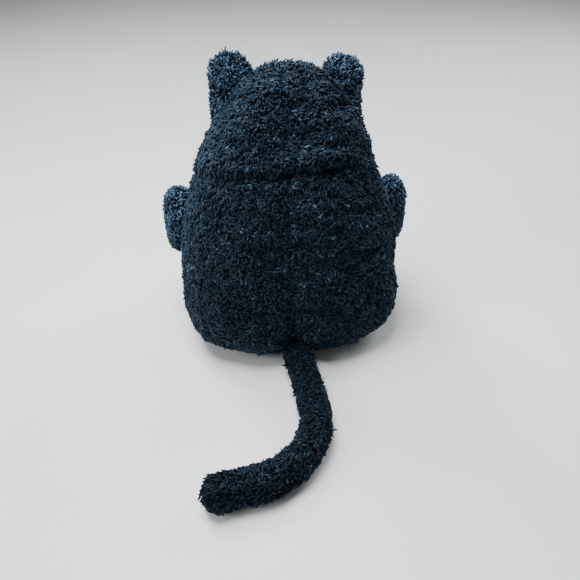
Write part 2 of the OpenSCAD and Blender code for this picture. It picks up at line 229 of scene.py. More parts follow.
def grow_tufts(points, normals, comb, length, radius, seed, curl=0.55, spread=0.5):
    """Curved cones standing on the points. comb is the way the pile leans, per point or for all."""
    rng = np.random.default_rng(seed)
    n = len(points)
    long = length * rng.uniform(0.72, 1.2, n)[:, None]
    thick = radius * rng.uniform(0.75, 1.25, n)[:, None]
    lean = comb - normals * np.sum(comb * normals, 1, keepdims=True)
    clump = np.stack([waves(points, CLUMP, seed + 300 + k, 9) for k in range(3)], 1)
    lean = lean * 0.5 + (clump - normals * np.sum(clump * normals, 1, keepdims=True)) * 0.9
    side = rng.normal(size=(n, 3))
    side = unit(side - normals * np.sum(side * normals, 1, keepdims=True))
    across = np.cross(normals, side)
    turn = rng.uniform(0.6, 1.5, n)[:, None] * rng.choice([-1, 1], n)[:, None]

    def along(t):
        up = normals * (t - 0.28 * t * t)
        tilt = (side * spread + lean) * t
        hook = side * (curl * t * t) + across * (curl * turn * np.sin(1.9 * t) * t)
        return points + (up + tilt + hook) * long

    rings = []
    for t, r in zip(TUFT_STEPS, TUFT_RADII):
        centre = along(t)
        ahead = unit(along(t + 0.05) - along(t - 0.05))
        u = unit(np.cross(ahead, side + normals * 0.37))
        v = np.cross(ahead, u)
        for k in range(TUFT_SIDES):
            angle = 2 * math.pi * k / TUFT_SIDES
            rings.append(centre + (u * math.cos(angle) + v * math.sin(angle)) * thick * r)
    rings.append(along(1.0))
    verts = np.stack(rings, 1)
    m = verts.shape[1]
    quads, tris = [], []
    for ring in range(len(TUFT_STEPS) - 1):
        for k in range(TUFT_SIDES):
            k2 = (k + 1) % TUFT_SIDES
            low, high = ring * TUFT_SIDES, (ring + 1) * TUFT_SIDES
            quads.append((low + k, low + k2, high + k2, high + k))
    top = (len(TUFT_STEPS) - 1) * TUFT_SIDES
    for k in range(TUFT_SIDES):
        tris.append((top + k, top + (k + 1) % TUFT_SIDES, m - 1))
    start = (np.arange(n) * m)[:, None, None]
    quads = (np.array(quads)[None] + start).reshape(-1, 4)
    tris = (np.array(tris)[None] + start).reshape(-1, 3)
    height = np.concatenate([np.repeat(np.clip(TUFT_STEPS, 0, 1), TUFT_SIDES), [1.0]])
    flat = verts.reshape(-1, 3)
    flat[:, 2] = np.maximum(flat[:, 2], LIFT)
    return flat, quads, tris, np.tile(height, n), np.repeat(rng.random(n), m)


def reshape(obj, change):
    """Moves every point of a finished piece."""
    points = np.empty(len(obj.data.vertices) * 3, np.float32)
    obj.data.vertices.foreach_get("co", points)
    moved = change(points.reshape(-1, 3).astype(float))
    obj.data.vertices.foreach_set("co", moved.astype(np.float32).ravel())
    obj.data.update()


def furry(name, verts, polys, comb=(0, 0, -1), gap=1.78, length=3.6, radius=0.82, seed=1,
          curl=0.6, spread=0.35, keep=None, inner=()):
    """One object: a backing cloth with its pile. Lengths in millimetres. Inner faces stay bare."""
    points, away = scatter(verts, triangles(polys), gap * MM, seed, keep)
    comb = comb(points) if callable(comb) else np.tile(np.array(comb, float), (len(points), 1))
    tv, tq, tt, height, shade = grow_tufts(points, away, comb, length * MM, radius * MM,
                                           seed + 1, curl, spread)
    base = len(verts)
    all_polys = list(polys) + list(inner) + [tq + base, tt + base]
    attributes = {"tip": np.concatenate([np.zeros(base), height]),
                  "tuft": np.concatenate([np.full(base, 0.3), shade])}
    return make_mesh(name, np.vstack([verts, tv]), all_polys, attributes)


# ---------------------------------------------------------------- materials
class Paint:
    """A material's shader, and the pattern nodes that feed it."""

    def __init__(self, name):
        self.material = bpy.data.materials.new(name)
        self.material.use_nodes = True
        self.nodes = self.material.node_tree.nodes
        self.link = self.material.node_tree.links.new
        self.shader = self.nodes["Principled BSDF"]

    def put(self, socket, value):
        """A node's output or a plain value, into a socket."""
        if isinstance(value, bpy.types.NodeSocket):
            self.link(value, socket)
        elif isinstance(value, tuple):
            socket.default_value = (*value, 1)
        else:
            socket.default_value = value

    def set(self, **values):
        """Shader inputs by name, with _ for each space."""
        for name, value in values.items():
            self.put(self.shader.inputs[name.replace("_", " ")], value)

    def noise(self, scale, detail=3.0):
        where = self.nodes.new("ShaderNodeTexCoord")
        texture = self.nodes.new("ShaderNodeTexNoise")
        texture.inputs["Scale"].default_value = scale
        texture.inputs["Detail"].default_value = detail
        texture.inputs["Roughness"].default_value = 0.6
        self.link(where.outputs["Object"], texture.inputs["Vector"])
        return texture.outputs["Fac"]

    def ramp(self, source, stops):
        """Colours over the source's range. A single number is a grey."""
        node = self.nodes.new("ShaderNodeValToRGB")
        elements = node.color_ramp.elements
        while len(elements) < len(stops):
            elements.new(0.5)
        for element, (place, colour) in zip(elements, stops):
            element.position = place
            element.color = (*colour, 1) if isinstance(colour, tuple) else (colour,) * 3 + (1,)
        self.link(source, node.inputs["Fac"])
        return node.outputs["Color"]

    def mix(self, kind, factor, a, b):
        node = self.nodes.new("ShaderNodeMix")
        node.data_type = "RGBA"
        node.blend_type = kind
        for value, socket in ((factor, node.inputs[0]), (a, node.inputs[6]), (b, node.inputs[7])):
            self.put(socket, value)
        return node.outputs[2]

    def times(self, a, b):
        return self.mix("MULTIPLY", 1.0, a, b)

    def attribute(self, name):
        node = self.nodes.new("ShaderNodeAttribute")
        node.attribute_name = name
        return node.outputs["Fac"]

    def bump(self, height, strength, distance):
        node = self.nodes.new("ShaderNodeBump")
        node.inputs["Strength"].default_value = strength
        node.inputs["Distance"].default_value = distance
        self.link(height, node.inputs["Height"])
        self.link(node.outputs["Normal"], self.shader.inputs["Normal"])


def pile_material(name, root, middle, tip, sheen=0.12, spark=4.2):
    """Dark pile, darker at the roots as painted shade between the tufts and lighter at the tips as a
    painted highlight; a few tufts are painted glints, many times lighter.
    """
    paint = Paint(name)
    # Down each tuft: painted shade at the root, painted highlight at the tip.
    length = paint.ramp(paint.attribute("tip"), [(0.0, root), (0.45, middle), (1.0, tip)])
    # Random tone per tuft; the top stop makes a few tufts painted glints.
    each = paint.ramp(paint.attribute("tuft"),
                      [(0.0, (0.12, 0.13, 0.15)), (0.6, 0.52), (0.86, (1.2, 1.18, 1.15)),
                       (1.0, (spark, 0.94 * spark, 0.88 * spark))])
    patch = paint.ramp(paint.noise(26.0, 2.0),
                       [(0.32, (0.42, 0.44, 0.48)), (0.68, (1.4, 1.35, 1.3))])
    lock = paint.ramp(paint.noise(120.0, 2.0), [(0.35, (0.6, 0.6, 0.62)), (0.65, (1.25, 1.25, 1.22))])
    paint.set(Base_Color=paint.times(paint.times(paint.times(length, each), patch), lock),
              Roughness=paint.ramp(paint.attribute("tuft"), [(0.0, 0.5), (1.0, 0.72)]),
              Sheen_Weight=sheen, Sheen_Roughness=0.45, Sheen_Tint=(0.3, 0.6, 1.0),
              Specular_IOR_Level=0.22, Specular_Tint=(0.5, 0.75, 1.0))
    paint.bump(paint.noise(2600.0, 2.0), 0.5, 0.0003)
    return paint.material


def cloth_material(name, dark, light):
    """Woven cloth with a fine plain weave."""
    thread = 1.1 * MM
    paint = Paint(name)
    where = paint.nodes.new("ShaderNodeTexCoord")
    stripes = []
    for direction in ("X", "Y"):
        wave = paint.nodes.new("ShaderNodeTexWave")
        wave.bands_direction = direction
        wave.inputs["Scale"].default_value = 0.314 / thread
        wave.inputs["Distortion"].default_value = 0.6
        paint.link(where.outputs["Object"], wave.inputs["Vector"])
        stripes.append(wave.outputs["Fac"])
    weave = paint.times(*stripes)
    colour = paint.ramp(weave, [(0.0, dark), (1.0, light)])
    patch = paint.ramp(paint.noise(55.0), [(0.3, 0.8), (0.7, 1.1)])
    paint.set(Base_Color=paint.times(colour, patch), Roughness=0.85, Sheen_Weight=0.2)
    paint.bump(weave, 0.6, 0.0004)
    return paint.material


def plain_material(name, dark, light, rough, coat=0.0, scale=160.0):
    """Moulded plastic or loose fibre: slight mottling, fine surface grain."""
    paint = Paint(name)
    grain = paint.ramp(paint.noise(scale * 6), [(0.3, rough * 0.85), (0.7, min(rough * 1.15, 1))])
    paint.set(Base_Color=paint.ramp(paint.noise(scale), [(0.3, dark), (0.7, light)]),
              Roughness=grain, Coat_Weight=coat, Coat_Roughness=0.05)
    paint.bump(paint.noise(scale * 8), 0.15, 0.0002)
    return paint.material


# Fur colours down a tuft: the dark root is painted shade, the light tip a painted highlight.
ROOT, MIDDLE, TIP = (0.0012, 0.0021, 0.0034), (0.0040, 0.0074, 0.0120), (0.0140, 0.0262, 0.042)


# Copies of the fur colours, scaled up as painted light or down as painted shade.
def fur_lit_or_shaded(times):
    return [tuple(times * c for c in colour) for colour in (ROOT, MIDDLE, TIP)]


FUR = pile_material("fur", ROOT, MIDDLE, TIP)
FACE_FUR = pile_material("face_fur", ROOT, MIDDLE, TIP, 0.1)
# Arms and ears: fur colours 5.8 times lighter, painted light for the light that falls on them, with
# fewer painted glints.
LIT_LIMB_FUR = pile_material("limb_fur", *fur_lit_or_shaded(5.8), spark=1.5)
# Tail: fur colours at 0.6 times, painted shade for the body's shadow over the tail.
SHADED_TAIL_FUR = pile_material("tail_fur", *fur_lit_or_shaded(0.6), sheen=0.04)
LINING = pile_material("ear_lining", (0.02, 0.014, 0.017), (0.075, 0.052, 0.06),
                       (0.16, 0.115, 0.13))
SOLE = pile_material("sole_pile", (0.012, 0.013, 0.016), (0.045, 0.05, 0.06), (0.10, 0.11, 0.13))
BASE_CLOTH = cloth_material("base_cloth", (0.008, 0.009, 0.012), (0.03, 0.034, 0.042))
BAG_CLOTH = cloth_material("bag_cloth", (0.5, 0.48, 0.44), (0.75, 0.72, 0.67))
FILLING = plain_material("filling", (0.72, 0.71, 0.68), (0.88, 0.88, 0.86), 0.95, scale=240.0)
PELLET = plain_material("pellet", (0.6, 0.62, 0.66), (0.85, 0.87, 0.9), 0.4, scale=420.0)
WASHER = plain_material("washer", (0.68, 0.67, 0.63), (0.8, 0.79, 0.76), 0.5)
NOSE = plain_material("nose_plastic", (0.30, 0.115, 0.13), (0.36, 0.15, 0.165), 0.38, 0.3)
THREAD = plain_material("thread", (0.012, 0.012, 0.014), (0.03, 0.03, 0.034), 0.7, scale=900.0)


def finish_piece(obj, material, body, nodes=()):
    obj.data.materials.append(material)
    if body:
        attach(obj, body)
    if nodes:
        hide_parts(*nodes)
    return obj


# ---------------------------------------------------------------- body and head coat
LEAN = math.radians(3.0)       # the soft head lolls towards the cat's right


def leaned(p):
    """The points after the head's loll, which grows from the chest up to the cheeks."""
    chest, pivot, cheeks = 128 * MM, 150 * MM, 205 * MM
    angle = LEAN * step(p[:, 2], chest, cheeks)
    over = p[:, 2] - pivot
    out = p.copy()
    out[:, 0] = p[:, 0] - over * np.sin(angle)
    out[:, 2] = p[:, 2] + p[:, 0] * np.sin(angle)
    return out


def curve_through(points, per_span):
    """Catmull-Rom curve; the crown is mirrored past its end so that it closes level."""
    p = [np.array([points[0][0] - 0.1, -0.04])] + [np.array(q, float) for q in points]
    p.append(np.array([-0.25, 0.976]))
    out = []
    for i in range(1, len(p) - 2):
        for t in np.arange(per_span) / per_span:
            a, b, c, d = p[i - 1:i + 3]
            out.append(b + 0.5 * t * (c - a + t * (2 * a - 5 * b + 4 * c - d
                                                    + t * (3 * (b - c) + d - a))))
    out.append(p[-2])
    return np.array(out)


def even(points, gap):
    """The same curve with points gap apart."""
    length = np.concatenate([[0], np.cumsum(np.linalg.norm(np.diff(points, axis=0), axis=1))])
    at = np.linspace(0, length[-1], int(length[-1] / gap) + 1)
    return np.stack([np.interp(at, length, points[:, k]) for k in range(2)], 1)


def neck_height(y):
    return NECK_Z + NECK_SLOPE * y


def arm_press(p):
    """How strongly each point is pressed in by an arm, 0 to 1, from its place beside the arm."""
    top = joint_at("arm_left_swing")[1:]
    lean = math.radians(ARM_LEAN)
    down = ARM_LENGTH * np.array([-math.sin(lean), -math.cos(lean)])
    along = np.clip(((p[:, 1:] - top) @ down) / (down @ down), 0, 1)
    near = top + along[:, None] * down
    gap = np.linalg.norm(p[:, 1:] - near, axis=1)
    return 1 - step(gap, 23 * MM, 40 * MM)


def coat_relief(p):
    """Height of the quilted surface over the plain gumdrop: folds, seams and lumps.

    Lengths in millimetres inside, and each bump is height * bump(way off its line, width).
    """
    x, y, z = p.T / MM
    back = step(y, -4, 14)
    over = z - neck_height(p[:, 1]) / MM
    h = 1.5 * waves(p, 95 * MM, 3) + 0.8 * waves(p, 36 * MM, 4, 10) + 0.9 * waves(p, 15 * MM, 5, 14)
    h -= PILE / MM + 1.6
    # centre-back seam, with the panels swelling on each side of it
    seam = back * step(HEIGHT / MM - z, 4, 30)
    low_back = 0.5 + 0.5 * step(-z, -120, -60)
    h -= (1.9 * bump(x, 3) + 2.0 * bump(x, 15) * low_back) * seam
    # side seams and the seam over the crown, which has a ridge behind it
    h -= 1.6 * bump(y - SIDE_SEAM_Y / MM, 4) * (over < 0)
    past_crown = y - CROWN_SEAM_Y / MM
    h += (1.9 * bump(past_crown - 7, 5) - 2.6 * bump(past_crown + 1, 4.5)) * step(z, 196, 214)
    # neck fold: strongest on the right of the nape, faint on the left
    right = (0.3 + 0.7 * step(-x, -24, 6)) * (1 - 0.8 * step(-x, 42, 66))
    front = step(-y, 20, 55)
    fold = np.maximum(np.maximum(back * right, 0.7 * front), 0.25)
    rise = back * (6 - 0.1 * x)
    h -= 6.0 * bump(over + 6 - rise, 4.5) * fold
    h += 3.8 * bump(over - 4 - rise, 5) * fold
    # creases that come off the fold on the right, and the crease over the back of the head
    across = step(-x, 12, 40) * back
    h -= 1.8 * bump(over - 17 - 0.1 * x, 3.5) * across
    h -= 1.5 * bump(over - 27 - 0.16 * x, 3.5) * across
    dip = step(-x, -8, 6) * step(x, -66, -50) * back
    h -= 2.4 * bump(z - 233 - 0.12 * x, 4) * dip
    h += 1.4 * bump(z - 226 - 0.12 * x, 6) * dip
    # pucker where the head's centre seam is drawn in
    h -= 3.6 * bump(x + 9, 6) * bump(z - 211, 12) * back
    h += 1.6 * bump(x + 1, 5) * bump(z - 211, 14) * back
    # cheeks and eye hollows
    face = step(-y, 10, 35)
    h += 4.0 * bump(np.abs(x) - 40, 20) * bump(z - 180, 17) * face
    h -= 2.0 * bump(np.abs(x) - 27, 11) * bump(z - 206, 11) * face
    # the crown is full, and the filling sits heavier on the cat's right
    h += 3.4 * step(z, 222, 246)
    h += 1.2 * bump(z - 196, 24) * step(-x, 40, 64)
    h += 2.6 * bump(z - 46, 24) * step(-x, 70, 95)
    # room over the tail for its lift
    h -= 5.2 * bump(np.hypot(x + 5, z - 31), 16) * back
    # the bottom edge tucks under
    h -= 3.0 * bump(z - 8, 13) * back
    return h * MM


def settled(verts, polys, pinned, extra, pressure, most):
    """The mesh after its cloth has swelled between pinned stitches. extra is the spare cloth."""
    obj = make_mesh("cloth", verts, polys)
    group = obj.vertex_groups.new(name="stitched")
    group.add(np.nonzero(pinned)[0].tolist(), 1.0, "REPLACE")
    cloth = obj.modifiers.new("cloth", "CLOTH")
    cloth.settings.vertex_group_mass = "stitched"
    cloth.settings.use_pressure = True
    cloth.settings.uniform_pressure_force = pressure
    cloth.settings.shrink_min = -extra
    cloth.settings.bending_stiffness = 0.3
    cloth.settings.effector_weights.gravity = 0
    cloth.settings.quality = 5
    scene = bpy.context.scene
    for number in range(1, 21):
        scene.frame_set(number)
        now = obj.evaluated_get(bpy.context.evaluated_depsgraph_get())
    moved = np.empty(len(verts) * 3, np.float32)
    now.data.vertices.foreach_get("co", moved)
    scene.frame_set(1)
    mesh = obj.data
    bpy.data.objects.remove(obj)
    bpy.data.meshes.remove(mesh)
    move = np.nan_to_num(moved.reshape(-1, 3).astype(float) - verts)
    length = np.linalg.norm(move, axis=1, keepdims=True)
    return verts + move * np.minimum(1, most / np.maximum(length, 1e-9))


def along_grid(values, count_rings, count_around):
    """A coarse ring grid of vectors spread over a grid twice as fine, closed round each ring."""
    r = np.minimum(np.arange(count_rings) / 2, values.shape[0] - 1)
    a = np.arange(count_around) / 2
    r0, a0 = r.astype(int), a.astype(int)
    r1, a1 = np.minimum(r0 + 1, values.shape[0] - 1), (a0 + 1) % values.shape[1]
    fr, fa = (r - r0)[:, None, None], (a - a0)[None, :, None]
    low = values[r0][:, a0] * (1 - fa) + values[r0][:, a1] * fa
    high = values[r1][:, a0] * (1 - fa) + values[r1][:, a1] * fa
    return low * (1 - fr) + high * fr


def coat_stitches(p):
    """Where the coat is sewn down and can't swell."""
    x, y, z = p[:, 0], p[:, 1], p[:, 2]
    over = z - neck_height(y)
    near = 3.2 * MM
    back = (np.abs(x) < near) & (y > 0)
    sides = (np.abs(y - SIDE_SEAM_Y) < near) & (over < 0)
    crown = (np.abs(y - CROWN_SEAM_Y) < near) & (over > 0)
    return back | sides | crown | (np.abs(over + 6 * MM) < near) | (z < 4 * MM)


def gumdrop_ring(half_x, half_y, z, around):
    """A level ring of the gumdrop, its points evenly turned about the middle."""
    angle = 2 * math.pi * (np.arange(around) + 0.5) / around
    c, s = np.cos(angle), np.sin(angle)
    r = (np.abs(c / half_x) ** SQUARENESS + np.abs(s / half_y) ** SQUARENESS) ** (-1 / SQUARENESS)
    return np.stack([r * c, r * s, np.full(around, z)], 1)


def gumdrop_profile(gap):
    """Half-width and height up the side, in steps of gap, without the point on top."""
    return even(curve_through(OUTLINE, 12) * np.array([HALF_W, HEIGHT]), gap)[:-1]


def build_coat():
    """The whole gumdrop as one grid: vertices, quads and a crown fan."""
    around = 264
    rings = [gumdrop_ring(max(w, 0.6 * MM), max(w * FLATNESS, 0.5 * MM), z, around)
             for w, z in gumdrop_profile(2.3 * MM)]
    verts, polys = tube_grid(rings, close_start=False)
    normals = vertex_normals(verts, triangles(polys))
    relief = coat_relief(verts)
    # the cloth settles on every second point of every second ring
    coarse = verts[:-1].reshape(len(rings), around, 3)[::2, ::2]
    start, start_polys = tube_grid(list(coarse), close_start=False)
    swelled = settled(start, start_polys, coat_stitches(start), 0.035, 3.0, 3.5 * MM)
    move = (swelled - start)[:-1].reshape(coarse.shape)
    verts = verts + normals * relief[:, None]
    verts[:-1] += along_grid(move, len(rings), around).reshape(-1, 3)
    # flats where the arms lie
    shoulder = joint_at("arm_left_swing")
    slant = (shoulder[2] - verts[:, 2]) * math.tan(math.radians(ARM_SPLAY))
    beside_arm = shoulder[0] - ARM_HALF_T - 2.5 * MM + slant
    press = arm_press(verts)
    wide = np.abs(verts[:, 0])
    wide = wide * (1 - press) + np.minimum(wide, beside_arm) * press
    verts[:, 0] = np.sign(verts[:, 0]) * wide
    verts[:, 2] = np.maximum(verts[:, 2], 2 * LIFT)
    return verts, polys


def cut_panels(verts, polys):
    """Splits the coat along its sewing lines. Returns {panel: (vertices, polygons)}."""
    bm = bmesh.new()
    mesh = bpy.data.meshes.new("coat")
    faces = [tuple(f) for p in polys for f in np.asarray(p).tolist()]
    mesh.from_pydata(verts.tolist(), [], faces)
    bm.from_mesh(mesh)
    planes = [((0, 0, 0), (1, 0, 0)), ((0, SIDE_SEAM_Y, 0), (0, 1, 0)),
              ((0, CROWN_SEAM_Y, 0), (0, 1, 0)), ((0, 0, NECK_Z), (0, -NECK_SLOPE, 1))]
    for point, normal in planes:
        geometry = bm.verts[:] + bm.edges[:] + bm.faces[:]
        bmesh.ops.bisect_plane(bm, geom=geometry, dist=1e-6, plane_co=point, plane_no=normal)
    bm.normal_update()
    bm.verts.index_update()
    all_verts = leaned(np.array([v.co for v in bm.verts]))
    all_normals = np.array([v.normal for v in bm.verts])
    panels = {}
    for face in bm.faces:
        centre = face.calc_center_median()
        if centre.z > neck_height(centre.y):
            name = "face" if centre.y < CROWN_SEAM_Y else "head_back"
        else:
            name = "belly" if centre.y < SIDE_SEAM_Y else "body_back"
        name += "_left" if centre.x > 0 else "_right"
        panels.setdefault(name, []).append([v.index for v in face.verts])
    bm.free()
    bpy.data.meshes.remove(mesh)
    return {name: panel_shell(all_verts, all_normals, faces) for name, faces in panels.items()}


def panel_shell(verts, normals, faces, thick=1.2 * MM):
    """A panel with a back face and a folded rim, from its own part of the coat."""
    used = sorted({i for f in faces for i in f})
    index = {old: new for new, old in enumerate(used)}
    front = verts[used]
    back = front - normals[used] * thick
    n = len(used)
    edges = {}
    by_size = {}
    for f in faces:
        g = [index[i] for i in f]
        by_size.setdefault(len(g), []).append(g)
        by_size.setdefault(-len(g), []).append([i + n for i in reversed(g)])
        for a, b in zip(g, g[1:] + g[:1]):
            if (b, a) in edges:
                del edges[(b, a)]
            else:
                edges[(a, b)] = True
    rim = [[b, a, a + n, b + n] for a, b in edges]
    outer = [np.array(v) for k, v in by_size.items() if k > 0]
    inner = [np.array(v) for k, v in by_size.items() if k < 0]
    return np.vstack([front, back]), outer, inner + [np.array(rim)]


def make_coat():
    verts, polys = build_coat()
    panels = cut_panels(verts, polys)
    for number, (name, (cloth, outer, inner)) in enumerate(sorted(panels.items())):
        face, belly = name.startswith("face"), name.startswith("belly")
        node = "face_panel" if face else "body_front" if belly else name
        obj = furry(name + "_pile", cloth, outer, inner=inner, seed=20 + 2 * number,
                    length=3.3 if face else 3.7, radius=0.78 if face else 0.84)
        finish_piece(obj, FACE_FUR if face else FUR, None, (node,))
        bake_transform(obj)


# ---------------------------------------------------------------- limbs, ears and tail
def oval_ring(count, half_x, half_y, z, power=2.0):
    angle = 2 * math.pi * (np.arange(count) + 0.5) / count
    c, s = np.cos(angle), np.sin(angle)
    x = np.sign(c) * np.abs(c) ** (2 / power) * half_x
    y = np.sign(s) * np.abs(s) ** (2 / power) * half_y
    return np.stack([x, y, np.full(count, z)], 1)


def arm_mesh():
    """Left arm hanging along -Z of its own frame, then leaned and splayed into place."""
    thick, wide = ARM_HALF_T - 2.2 * MM, ARM_HALF_W - PILE
    total = ARM_LENGTH + 2 * wide
    rings = []
    for t in 0.5 - 0.5 * np.cos(np.linspace(0.06, math.pi - 0.06, 46)):
        down = t * total
        reach = min(down, total - down, wide)
        r = math.sqrt(max(1 - (1 - reach / wide) ** 2, 0.0))
        r *= 0.93 + 0.10 * step(t, 0.25, 0.8)       # fuller towards the paw
        rings.append(oval_ring(60, thick * r, wide * r, wide - down, 2.2))
    verts, polys = tube_grid(rings)
    verts[:, :2] *= (1 + 0.035 * waves(verts, 30 * MM, 11))[:, None]
    verts = turned(turned(verts, -ARM_LEAN, "X"), -ARM_SPLAY, "Y")
    return verts + joint_at("arm_left_swing"), flipped(polys)


def make_arms():
    verts, polys = arm_mesh()
    for side, s in SIDES:
        obj = furry(f"arm_{side}_pile", *sided(verts, polys, s), seed=61 if s > 0 else 71)
        finish_piece(obj, LIT_LIMB_FUR, f"arm_{side}",
                     (f"arm_outer_{side}", f"arm_inner_{side}"))


def round_ring(r, z):
    return oval_ring(72, r, r, z)


def leg_mesh():
    """Left leg along its own -Z: a ball at the hip, fuller at the foot, flat at the sole."""
    hip_r, foot_r, flat = HIP_R - PILE, FOOT_R - PILE, 12 * MM
    rings = [round_ring(hip_r * math.sin(a), hip_r * math.cos(a))
             for a in np.linspace(0.08, math.pi / 2, 10)]
    for t in np.linspace(0, 1, 22)[1:]:
        r = hip_r + (foot_r - hip_r) * t - 1.2 * MM * math.sin(math.pi * t)
        rings.append(round_ring(r, -LEG_LENGTH * t))
    edge = math.asin(flat / foot_r)
    for a in np.linspace(0, edge, 8)[1:]:
        rings.append(round_ring(foot_r * math.cos(a), -LEG_LENGTH - foot_r * math.sin(a)))
    rim = foot_r * math.cos(edge)
    for k in (0.9, 0.75, 0.5, 0.25):
        rings.append(round_ring(rim * k, -LEG_LENGTH - flat))
    verts, polys = tube_grid(rings)
    return verts, flipped(polys), rim, -LEG_LENGTH - flat


def sole_mesh(rim, z):
    """A slightly domed disc with a rolled edge, under the foot at z of the leg's own frame."""
    edge = ((0.985, 0.6), (1.0, 0.0), (1.0, -1.0), (0.97, -1.9), (0.93, -2.3), (0.86, -2.5))
    rings = [round_ring(rim * k, z + h * MM) for k, h in edge]
    for k in (0.7, 0.5, 0.3, 0.12):
        rings.append(round_ring(rim * k, z - (2.5 + 1.2 * (1 - k * k)) * MM))
    verts, polys = tube_grid(rings)
    return verts, flipped(polys)


def place_leg(verts):
    """From the leg's own frame, whose -Z is the way the leg points, into the row frame."""
    hip = joint_at("leg_left_lift")
    across = joint_axis("leg_left_lift")
    fall = math.asin((hip[2] - FOOT_R) / LEG_LENGTH)
    level = np.array([across[1], -across[0], 0.0])
    out = level * math.cos(fall) + np.array([0, 0, -math.sin(fall)])
    up = np.cross(-out, across)
    return hip + verts[:, :1] * across + verts[:, 1:2] * up - verts[:, 2:3] * out


def make_legs():
    verts, polys, rim, sole_z = leg_mesh()
    pad, pad_polys = sole_mesh(rim, sole_z)
    verts, pad = place_leg(verts), place_leg(pad)
    for points in (verts, pad):
        points[:, 2] = np.maximum(points[:, 2], 1.5 * MM)
    sole = place_leg(np.array([[0, 0, sole_z]]))[0]
    out = unit(sole - joint_at("leg_left_lift"))
    for side, s in SIDES:

        def off_sole(c, flip=np.array([s, 1, 1])):
            return (((c * flip) - sole) @ out < -0.5 * MM).astype(float)

        obj = furry(f"leg_{side}_pile", *sided(verts, polys, s), seed=81 if s > 0 else 91,
                    keep=off_sole)
        finish_piece(obj, FUR, f"leg_{side}", (f"leg_skin_{side}",))
        obj = furry(f"sole_{side}_pad", *sided(pad, pad_polys, s), comb=(0, 0, -0.5),
                    seed=101 if s > 0 else 111, gap=1.3, length=1.7, radius=0.42, curl=0.3,
                    spread=0.3)
        finish_piece(obj, SOLE, f"leg_{side}", (f"sole_{side}",))


EAR_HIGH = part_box("ear_back_left")[1]
EAR_HALF = 18 * MM
EAR_X, EAR_TOP = EAR_HIGH[0] - EAR_HALF, EAR_HIGH[2]
EAR_Y = joint_at("ear_left_flex")[1]


def ear_mesh(half, thick, low, dish=0.0):
    """Left ear: a padded tongue with a round tip, running down into the head."""
    tip = EAR_TOP - EAR_HALF + half - 1.5 * MM
    rings = []
    for z in tip - (tip - low) * (0.5 - 0.5 * np.cos(np.linspace(math.pi, 0.10, 34))):
        down = min(tip - z, half)
        w = half * math.sqrt(max(1 - (1 - down / half) ** 2, 0.0)) ** 0.92
        pad = thick * min(1.0, math.sqrt(max(down / half, 0.0)) * 1.15)
        rings.append(oval_ring(52, w, pad, z) + np.array([EAR_X, EAR_Y, 0]))
    verts, polys = tube_grid(rings)
    middle = bump(verts[:, 0] - EAR_X, half * 0.62) * bump(verts[:, 2] - tip + half * 1.15, half)
    front = verts[:, 1] < EAR_Y
    verts[:, 1] += np.where(front, dish * middle, 0.25 * dish * middle)
    verts[:, :1] += 0.5 * MM * waves(verts, 22 * MM, 17)[:, None]
    return verts, polys


def ear_lining_mesh():
    """The lining lies on the front of the ear, hollowed in the middle."""
    verts, polys = ear_mesh(EAR_HALF - 6.0 * MM, 1.6 * MM, 222 * MM)
    hollow = bump(verts[:, 0] - EAR_X, 11 * MM) * bump(verts[:, 2] - 245 * MM, 18 * MM)
    verts[:, 1] += 3.0 * MM * hollow - 4.2 * MM
    verts[:, 2] = np.minimum(verts[:, 2], EAR_TOP - 6 * MM)
    return verts, polys


def finish_ear(obj, side, material, node):
    """Lolls an ear piece with the head."""
    s = dict(SIDES)[side]

    def lolled(points):
        """With the head, and the right ear sewn a little lower and further in."""
        out = leaned(points)
        drop = step(points[:, 2], 205 * MM, 240 * MM) * (s < 0)
        out[:, 2] -= 1.0 * MM * drop
        out[:, 0] += 2.0 * MM * drop
        return out

    reshape(obj, lolled)
    finish_piece(obj, material, None, (node,))
    flip = np.array([s, 1, 1])
    seam = joint_at("ear_left_flex") * flip
    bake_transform(obj)


def make_ears():
    ear = ear_mesh(EAR_HALF - 2.2 * MM, 5.7 * MM, 205 * MM, 3.0 * MM)
    lining = ear_lining_mesh()
    fibre, fibre_polys = ear_mesh(EAR_HALF - 7.5 * MM, 2.2 * MM, 226 * MM)
    fibre[:, 2] -= 5 * MM
    for side, s in SIDES:

        def off_lining(c, s=s):
            """Nothing grows through the lining, which fills the front but for a rim."""
            across = np.abs(c[:, 0] - s * EAR_X)
            up = np.maximum(c[:, 2] - (EAR_TOP - EAR_HALF), 0)
            covered = (c[:, 1] < EAR_Y - 1 * MM) & (np.hypot(across, up) < EAR_HALF - 6.5 * MM)
            return (~covered).astype(float)

        def outward(points, s=s):
            middle = np.array([s * EAR_X, EAR_Y, 235 * MM])
            return unit((points - middle) * np.array([1, 0.2, 1])) * 0.5

        obj = furry(f"ear_{side}_pile", *sided(*ear, s), comb=outward, seed=121 if s > 0 else 131,
                    gap=1.55, length=2.6, radius=0.76, keep=off_lining)
        finish_ear(obj, side, LIT_LIMB_FUR, f"ear_back_{side}")
        obj = furry(f"ear_{side}_lining", *sided(*lining, s), comb=(0, 0, 0.6),
                    seed=141 if s > 0 else 151, gap=1.3, length=2.2, radius=0.45, curl=0.35)
        finish_ear(obj, side, LINING, f"ear_lining_{side}")
        obj = make_mesh(f"ear_{side}_fibre", *sided(fibre, fibre_polys, s))
        finish_ear(obj, side, FILLING, f"ear_stuffing_{side}")


TAIL_TURN = math.radians(44)
TAIL_R = joint_at("tail_root_lift")[2]
TAIL_END = 26 * MM


